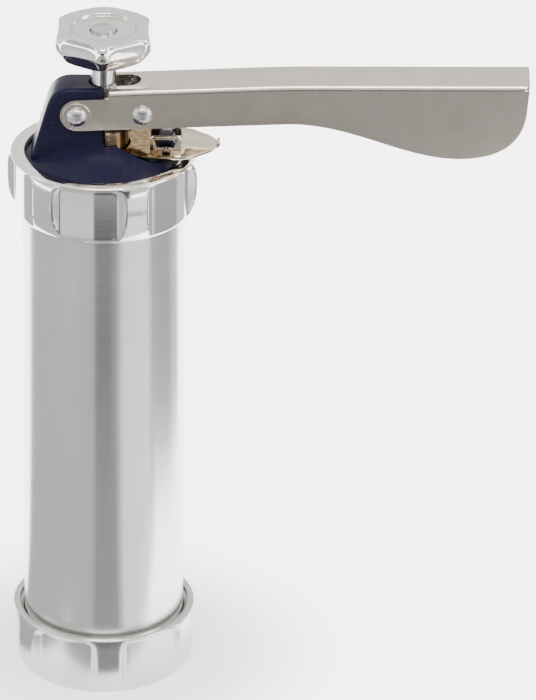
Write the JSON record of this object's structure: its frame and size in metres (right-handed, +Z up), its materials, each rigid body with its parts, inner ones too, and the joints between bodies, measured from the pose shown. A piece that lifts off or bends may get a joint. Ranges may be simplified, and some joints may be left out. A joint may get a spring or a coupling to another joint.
{
  "type": "lever food press",
  "caption": "Hand food press: a barrel with screwed collars, a domed head with a pivoted lever, a toothed push rod with a pull knob, a piston and an outlet disc.",
  "frame": {"origin": "on the barrel's axis, in the plane of the outlet disc's middle and the bottom collar's base", "axes": "+Z up the barrel towards the knob, +X along the lever away from its pivot, +Y across the lever"},
  "size_m": [0.1531, 0.0572, 0.2089],
  "materials": {
    "barrel_aluminium": "satin brushed",
    "collar_aluminium": "polished",
    "navy_plastic": "gloss moulded",
    "satin_nickel": "satin nickel plate",
    "bright_nickel": "bright nickel plate",
    "knob_chrome": "mirror polish",
    "steel": "drawn and zinc plated",
    "white_plastic": "moulded"
  },
  "bodies": {
    "barrel": {"barrel_tube": "barrel_aluminium"},
    "outlet": {"outlet_disc": "barrel_aluminium"},
    "bottom_collar": {"bottom_collar": "collar_aluminium"},
    "head": {"head_housing": "navy_plastic", "rod_bushing": "white_plastic", "rod_shoe": "steel", "lever_pivot_rivet": "steel", "pivot_washer_front": "steel", "pivot_washer_rear": "steel", "catch_pin": "steel", "catch_spring": "steel"},
    "top_collar": {"top_collar": "collar_aluminium"},
    "piston": {"piston_disc": "white_plastic"},
    "rod": {"ratchet_rod": "steel", "pull_knob": "knob_chrome", "piston_washer": "steel", "piston_screw": "steel"},
    "lever": {"lever_channel": "satin_nickel", "pawl_rivet": "steel", "pawl_spacer_front": "steel", "pawl_spacer_rear": "steel", "pawl_spring": "steel"},
    "pawl": {"drive_pawl": "steel"},
    "catch": {"catch_plate": "bright_nickel"}
  },
  "joints": [
    {"name": "head_lift", "type": "slide", "parent": "barrel", "child": "head", "axis": [0, 0, 1], "range_m": [0, 0.015]},
    {"name": "top_collar_turn", "type": "hinge", "parent": "head", "child": "top_collar", "pos_m": [0, 0, 0.16], "axis": [0, 0, 1], "range_deg": [0, 2700]},
    {"name": "outlet_drop", "type": "slide", "parent": "barrel", "child": "outlet", "axis": [0, 0, -1], "range_m": [0, 0.015]},
    {"name": "bottom_collar_turn", "type": "hinge", "parent": "outlet", "child": "bottom_collar", "pos_m": [0, 0, 0.0095], "axis": [0, 0, -1], "range_deg": [0, 2700]},
    {"name": "piston_slide", "type": "slide", "parent": "head", "child": "piston", "axis": [0, 0, 1], "range_m": [0, 0.143]},
    {"name": "rod_turn", "type": "hinge", "parent": "piston", "child": "rod", "pos_m": [0, 0, 0.2], "axis": [0, 0, 1], "continuous": true},
    {"name": "lever_swing", "type": "hinge", "parent": "head", "child": "lever", "pos_m": [-0.0077, 0, 0.18325], "axis": [0, -1, 0], "range_deg": [-5.5, 20]},
    {"name": "pawl_swing", "type": "hinge", "parent": "lever", "child": "pawl", "pos_m": [0.0114, 0, 0.18375], "axis": [0, -1, 0], "range_deg": [-2.2, 8], "stiffness_Nm_per_rad": 0.00005, "springref_deg": -28.65, "deforming": ["pawl_spring"]},
    {"name": "catch_rock", "type": "hinge", "parent": "head", "child": "catch", "pos_m": [0.0185, 0, 0.1719], "axis": [0, -1, 0], "range_deg": [0, 5], "stiffness_Nm_per_rad": 0.02, "springref_deg": -1.72, "deforming": ["catch_spring"]}
  ],
  "couplings": [
    {"joint": "top_collar_turn", "follows": "head_lift", "rad_per_m": 3141.6},
    {"joint": "bottom_collar_turn", "follows": "outlet_drop", "rad_per_m": 3141.6},
    {"joint": "pawl_swing", "follows": "lever_swing", "ratio": 0.4}
  ]
}
